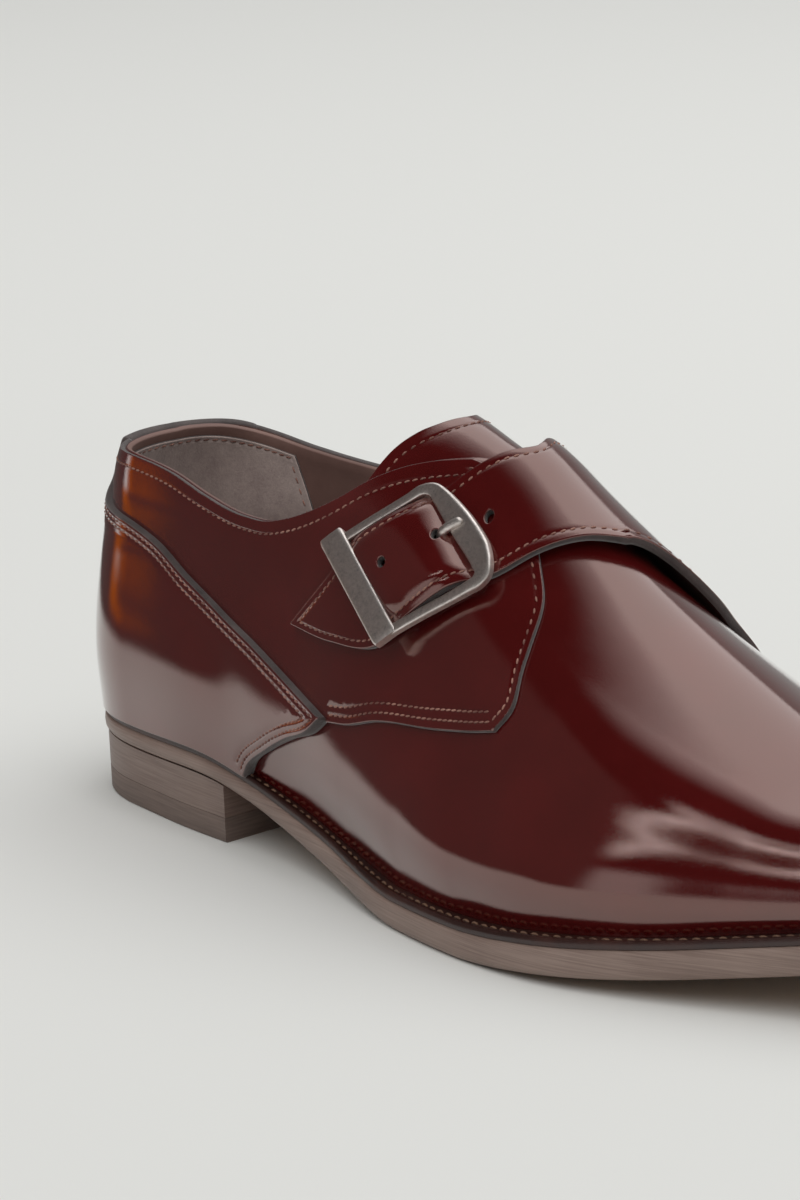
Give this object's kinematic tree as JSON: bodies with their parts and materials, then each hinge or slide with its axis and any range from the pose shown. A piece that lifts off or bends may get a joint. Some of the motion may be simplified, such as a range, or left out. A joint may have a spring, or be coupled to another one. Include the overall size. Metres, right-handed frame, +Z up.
{
  "type": "monk strap shoe",
  "caption": "Right-foot low leather dress shoe with a strap over the instep fastened by a metal buckle, stitched welt, leather sole and low stacked heel.",
  "frame": {"origin": "centre of the footprint on the floor, bottom centre of the whole shoe", "axes": "+X towards the toe, -Y the outer side that carries the buckle, +Y the inner side, +Z up"},
  "size_m": [0.294, 0.1018, 0.1131],
  "materials": {
    "polished_leather": "high gloss",
    "loop_leather": "satin",
    "sole_leather": "waxed edge",
    "heel_leather": "waxed edge",
    "welt_leather": "satin",
    "lining_leather": "matte",
    "heel_rubber": "matte",
    "buckle_metal": "burnished"
  },
  "bodies": {
    "root": {"heel_top_piece": "heel_rubber", "heel_stack": "heel_leather", "outsole": "sole_leather", "welt": "welt_leather", "insole": "lining_leather", "upper": "polished_leather", "tongue": "polished_leather", "lateral_quarter": "polished_leather", "strap": "polished_leather", "heel_counter": "polished_leather", "buckle_frame": "buckle_metal", "buckle_prong": "buckle_metal", "buckle_loop": "loop_leather"}
  },
  "joints": []
}
